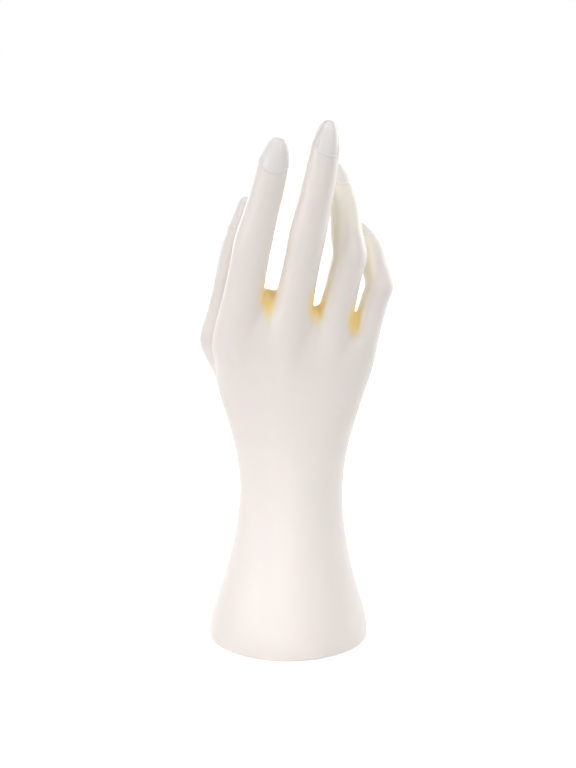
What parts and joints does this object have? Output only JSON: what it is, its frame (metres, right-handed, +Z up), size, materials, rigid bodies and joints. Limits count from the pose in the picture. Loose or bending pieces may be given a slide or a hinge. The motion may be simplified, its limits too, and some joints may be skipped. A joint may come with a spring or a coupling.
{
  "type": "display hand",
  "caption": "Life-size right display hand on a flared forearm, fingers spread and slightly curled, hollow plastic with a weighted foot.",
  "frame": {"origin": "middle of the underside of the pad that the hand stands on", "axes": "+Z up along the forearm, the back of the hand faces -Y, the palm faces +Y, the thumb is at -X"},
  "size_m": [0.104, 0.0845, 0.2793],
  "materials": {
    "skin": "satin ivory white",
    "nail": "smooth grey white",
    "cap": "fine moulded grey",
    "weight": "as cast, oiled",
    "screw": "zinc plated",
    "pad": "matt foam rubber"
  },
  "bodies": {
    "root": {"back_shell": "skin", "palm_shell": "skin", "thumb": "skin", "nail_thumb": "nail", "nail_index": "nail", "nail_middle": "nail", "nail_ring": "nail", "nail_little": "nail", "base_cap": "cap", "base_screws": "screw", "ballast_weight": "weight", "ballast_screw": "screw", "base_pad": "pad"}
  },
  "joints": []
}
